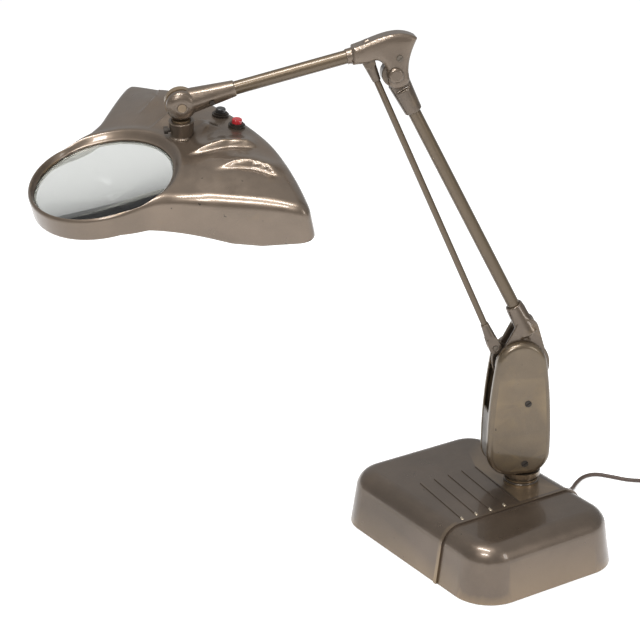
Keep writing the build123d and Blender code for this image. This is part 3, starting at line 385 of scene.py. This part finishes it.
def head_outline():
    """Closed plan outline, from the nose round by +X, as a ring that flares into two wings."""
    turn = np.radians(np.linspace(-90, -4, 40, endpoint=False))
    nose = np.stack([RING * np.cos(turn), RING * np.sin(turn)], 1)
    waist = (RING * math.cos(math.radians(4)), -RING * math.sin(math.radians(4)))
    flank = bezier(waist, (waist[0] + 3, 20), (84, 37), (100, 54), 40)
    edge = bezier((100, 54), (116, 71), (132, 89), (147, 105), 40)
    tip = bezier((147, 105), (155.5, 114), (154.5, 121.5), (138, 127.2), 24)
    across = np.linspace(138, 0, 60)
    back = np.stack([across, REAR - REAR_ARC + np.sqrt(REAR_ARC ** 2 - across ** 2)], 1)
    half = np.concatenate([nose, flank, edge, tip, back])
    other = half[1:-1][::-1] * (-1, 1)
    return np.concatenate([half, other])


GILLS = (
    (((16, 96), (10, 106), (6, 116), (6, 128), (8, 140)), 6.0, 15.0),
    (((30, 68), (34, 82), (38, 96), (43, 110), (50, 122), (58, 134)), 5.0, 12.0),
    (((66, 78), (70, 90), (75, 101), (82, 111), (92, 119), (106, 126)), 5.5, 14.0),
)
GILL_FACE = 3.2


def gill_relief(x, y):
    """Folds pressed in the deck: each rises slowly on its inner side and falls steeply outside."""
    relief = np.zeros_like(x)
    for line, height, breadth in GILLS:
        line = np.array(line, float)
        best = np.full_like(x, 1e9)
        side = np.zeros_like(x)
        travel = np.zeros_like(x)
        count = len(line) - 1
        for index in range(count):
            start = line[index]
            run = line[index + 1] - start
            length = np.hypot(*run)
            share = ((x - start[0]) * run[0] + (y - start[1]) * run[1]) / length ** 2
            held = np.clip(share, 0, 1)
            gap = np.hypot(x - start[0] - held * run[0], y - start[1] - held * run[1])
            cross = (run[1] * (x - start[0]) - run[0] * (y - start[1])) / length
            nearer = gap < best
            best = np.where(nearer, gap, best)
            side = np.where(nearer, cross, side)
            travel = np.where(nearer, (index + held) / count, travel)
        inner = np.exp(-(best / breadth) ** 2)
        outer = np.exp(-(best / GILL_FACE) ** 2) * 1.25 - 0.25 * np.exp(-((best - 4.5) / 4.0) ** 2)
        strength = ease(0.0, 0.55, travel) * (1 - ease(0.84, 1.0, travel))
        relief += height * strength * np.where(side > 0, outer, inner)
    at_buttons = ease(110.0, 124.0, y) * (1 - ease(24.0, 34.0, x))
    return relief * (1 - at_buttons)


DECK_RISE = 2.5
REAR_FROM = 105.0        # where the deck starts to fall to the rear, and how steeply
REAR_FALL = 0.325
WING_FROM = 58.0         # where each wing starts to droop, and how steeply on the -X and +X sides
WING_DROOP = (0.19, 0.235)
DECK_SOFTNESS = 8.0
CREST = 67.6             # radius of the bead round the lens at the nose
CREST_GROWTH = 6.0
BEAD_WIDTH = 7.0
BEAD_HEIGHT = 2.2
HOLE_FALL = 6.0


def deck_height(x, y):
    """Height of the deck over the lens plane, before its edge is rounded."""
    width = np.abs(x)
    height = DECK_RISE - REAR_FALL * soft_ramp(y - REAR_FROM, DECK_SOFTNESS)
    droop = np.where(x < 0, *WING_DROOP)
    height = height - droop * soft_ramp(width - WING_FROM, DECK_SOFTNESS) * ease(10.0, 55.0, y)
    radius = np.hypot(x, y)
    crest = CREST + CREST_GROWTH * ease(-25.0, 50.0, y)
    bead = np.exp(-(np.maximum(radius - crest, 0.0) / BEAD_WIDTH) ** 2)
    height = height - HOLE_FALL * (1 - ease(HOLE - 0.5, crest, radius)) + BEAD_HEIGHT * bead
    return height + gill_relief(width, y)


SKIRT_Y = (-76, -25, 0, 22, 42, 60, 80, 105, 162)
SKIRT_Z = (-16, -17, -23.5, -35, -45.5, -55, -60, -60, -55)


def outline_distance(x, y, outline):
    """Distance of each point from the closed outline."""
    after = np.roll(outline, -1, axis=0)
    best = np.full(x.shape, 1e9)
    for start, end in zip(outline, after):
        run = end - start
        share = ((x - start[0]) * run[0] + (y - start[1]) * run[1]) / max(run @ run, 1e-9)
        share = np.clip(share, 0, 1)
        gap = np.hypot(x - start[0] - share * run[0], y - start[1] - share * run[1])
        best = np.minimum(best, gap)
    return best


def make_head():
    """Shell from the lens opening over the deck to its edge, then down the skirt, white inside."""
    outline = head_outline()
    count = len(outline)
    bearing = np.arctan2(outline[:, 1], outline[:, 0])
    hole = np.stack([np.cos(bearing), np.sin(bearing)], 1) * HOLE
    rows = []
    for depth in HOLE_DEPTHS:
        rows.append(np.column_stack([hole, np.full(count, depth)]))
    spread = 0.5 - 0.5 * np.cos(np.pi * np.linspace(0, 1, DECK_ROWS))
    for share in spread:
        flat = hole + (outline - hole) * share
        x, y = flat[:, 0], flat[:, 1]
        round_off = EDGE_RADIUS + EDGE_GROWTH * ease(-40.0, 60.0, y)
        gap = np.minimum(outline_distance(x, y, outline), round_off)
        drop = round_off - np.sqrt(np.maximum(round_off ** 2 - (round_off - gap) ** 2, 0.0))
        z = deck_height(x, y) - drop
        rows.append(np.column_stack([x, y, z]))
    foot = np.interp(outline[:, 1], SKIRT_Y, SKIRT_Z)
    for share in np.linspace(0, 1, SKIRT_ROWS)[1:]:
        rows.append(np.column_stack([outline, z + (foot - z) * share]))
    points = np.concatenate(rows)
    vertices = [HEAD @ Vector(point * MM) for point in points]
    faces = []
    for row in range(len(rows) - 1):
        for index in range(count):
            after = (index + 1) % count
            faces.append((row * count + index, (row + 1) * count + index,
                          (row + 1) * count + after, row * count + after))
    head = piece_from("head_casting", vertices, faces, PAINT, "head", ("head_shell",))
    wall = head.modifiers.new("wall", "SOLIDIFY")
    wall.thickness = WALL * MM
    wall.offset = -1.0
    head.data.materials.append(MATERIALS["white_enamel"])
    wall.material_offset = 1
    bake_modifiers(head)


CROWN_CELL = 1.3
PIN_CELLS = 4


def crowned(joint_name, core, steps):
    """Shape that curves a casting's flanks in towards its outline, seen along the joint's axis."""
    joint = next(row for row in record["behaviour"]["joints"] if row["name"] == joint_name)
    turn = Vector(joint["axis"]).to_track_quat("X", "Z").to_matrix().to_4x4()
    stand = Matrix.Translation(Vector(joint["pos_m"])) @ turn

    def shape(mesh):
        mesh.transform(stand.inverted())
        places = np.empty(len(mesh.vertices) * 3)
        mesh.vertices.foreach_get("co", places)
        places = places.reshape(-1, 3)
        cells = np.floor(places[:, 1:] / (CROWN_CELL * MM)).astype(int)
        pin = 2 - cells.min(0)
        cells += pin
        inside = np.zeros(cells.max(0) + 3, bool)
        inside[cells[:, 0], cells[:, 1]] = True
        inside[pin[0] - PIN_CELLS:pin[0] + PIN_CELLS, pin[1] - PIN_CELLS:pin[1] + PIN_CELLS] = True
        depth = np.zeros(inside.shape)
        for _ in range(steps):
            depth += inside
            inside = (inside & np.roll(inside, 1, 0) & np.roll(inside, -1, 0)
                      & np.roll(inside, 1, 1) & np.roll(inside, -1, 1))
        for _ in range(4):
            depth = (depth + np.roll(depth, 1, 0) + np.roll(depth, -1, 0) + np.roll(depth, 1, 1)
                     + np.roll(depth, -1, 1)) / 5
        near = np.clip(depth[cells[:, 0], cells[:, 1]] / (steps - 1), 0, 1)
        width = np.abs(places[:, 0])
        hub = core * MM
        places[:, 0] = np.sign(places[:, 0]) * np.where(
            width > hub, hub + (width - hub) * np.sqrt(1 - (1 - near) ** 2), width)
        mesh.vertices.foreach_set("co", places.ravel())
        mesh.transform(stand)
        mesh.update()

    return shape


# Small bright hooks that paint the highlights on the rib ends, along the raised band.
TIP_X = 41.3
TIP_COUNT = 4
TIP_FIRST_Y = -103.0
TIP_PITCH = 17.5
TIP_PATH = ((-1.5, 0.0, 0.1), (-4.5, 0.5, 0.45), (-8.0, 1.4, 0.35), (-10.5, 3.4, 0.1))
TIP_RADII = (1.2, 1.8, 1.4, 0.5)
TIP_SIDES = 10
TIP_SUNK = 1.2           # below the raised band's top


def make_painted_highlight_tips():
    """Painted highlight: small hooks in bright paint where the thin ribs meet the raised band, standing in
    for the glints of light on the rib ends.
    """
    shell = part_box("base_shell")
    top = shell[1][2] - TIP_SUNK * MM
    last = (len(TIP_PATH) - 1) * TIP_SIDES
    for index in range(TIP_COUNT):
        y = (TIP_FIRST_Y + index * TIP_PITCH) * MM
        rings = []
        for (ahead, side, lift), radius in zip(TIP_PATH, TIP_RADII):
            for turn in range(TIP_SIDES):
                angle = 2 * math.pi * turn / TIP_SIDES
                rings.append(((TIP_X + ahead) * MM, y + (side + radius * math.cos(angle)) * MM,
                              top + (lift + 0.55 * radius * math.sin(angle)) * MM))
        faces = [tuple(range(TIP_SIDES - 1, -1, -1)), tuple(range(last, last + TIP_SIDES))]
        for start in range(0, last, TIP_SIDES):
            for turn in range(TIP_SIDES):
                here, after = start + turn, start + (turn + 1) % TIP_SIDES
                faces.append((here, after, after + TIP_SIDES, here + TIP_SIDES))
        piece_from(f"rib_tip_highlight_{index + 1}", rings, faces, PAINTED_TIP_HIGHLIGHT, "base")


make_painted_highlight_tips()
make_head()
casting("elbow_casting", "upper_arm", 0.7, 6, crowned("elbow", 7.4, 10))
casting("elbow_barrel", "lower_arm", 0.7, 5)
casting("lower_foot", "lower_arm", 0.8, 6)
casting("knuckle_sleeve", "upper_arm", 0.6, 5, crowned("head_tilt", 6.3, 11))
casting("lower_rod_fork", "link_rod", 0.5, 3)
casting("upper_rod_fork", "link_rod", 0.5, 3)
casting("collar", "head", 0.5, 3)


# ---------------------------------------------------------------- floor and light
FLOOR_SIZE = 30.0
FLOOR_GLOW = 0.42
ROOM_BOTTOM = 0.30
ROOM_TOP = 0.60
LIGHTS = (  # name, place, aim, size, power
    ("key", (0.9, -1.3, 1.7), (0, -0.1, 0.25), (0.7, 0.3), 22),
    ("over", (0.15, -0.7, 2.3), (-0.05, -0.2, 0.3), (1.3, 0.3), 40),
    ("side", (1.7, 0.6, 0.9), (0, -0.1, 0.2), (0.35, 0.9), 8),
)


def make_floor():
    bpy.ops.mesh.primitive_plane_add(size=FLOOR_SIZE, location=(0, 0, 0))
    floor = bpy.context.object
    floor.name = "floor"
    floor.data.materials.append(plain("floor", (0.86, 0.86, 0.86), roughness=0.9, vary=0.005, relief=0.0))
    shader = main_shader(floor.data.materials[0])
    shader.inputs["Emission Color"].default_value = (1, 1, 1, 1)
    shader.inputs["Emission Strength"].default_value = FLOOR_GLOW


def make_light(name, place, aim, size, power):
    data = bpy.data.lights.new(name, "AREA")
    data.shape = "RECTANGLE"
    data.size = size[0]
    data.size_y = size[1]
    data.energy = power
    light = bpy.data.objects.new(name, data)
    light.location = place
    light.rotation_euler = (Vector(aim) - Vector(place)).to_track_quat("-Z", "Y").to_euler()
    bpy.context.collection.objects.link(light)


def make_world():
    """White behind the lamp, and a soft grey room with a bright ceiling in its gloss."""
    world = bpy.data.worlds.new("studio")
    world.use_nodes = True
    tree = world.node_tree
    back = tree.nodes["Background"]
    place = tree.nodes.new("ShaderNodeTexCoord")
    split = tree.nodes.new("ShaderNodeSeparateXYZ")
    tree.links.new(place.outputs["Generated"], split.inputs["Vector"])
    room = ramp(tree, split.outputs["Z"], -0.1, 0.9, ROOM_BOTTOM, ROOM_TOP)
    path = tree.nodes.new("ShaderNodeLightPath")
    seen = tree.nodes.new("ShaderNodeMath")
    seen.operation = "MAXIMUM"
    tree.links.new(path.outputs["Is Camera Ray"], seen.inputs[0])
    tree.links.new(room, seen.inputs[1])
    back.inputs["Color"].default_value = (1, 1, 1, 1)
    tree.links.new(seen.outputs["Value"], back.inputs["Strength"])
    bpy.context.scene.world = world


make_floor()
make_world()
for light in LIGHTS:
    make_light(*light)
bpy.context.scene.view_settings.view_transform = "Standard"
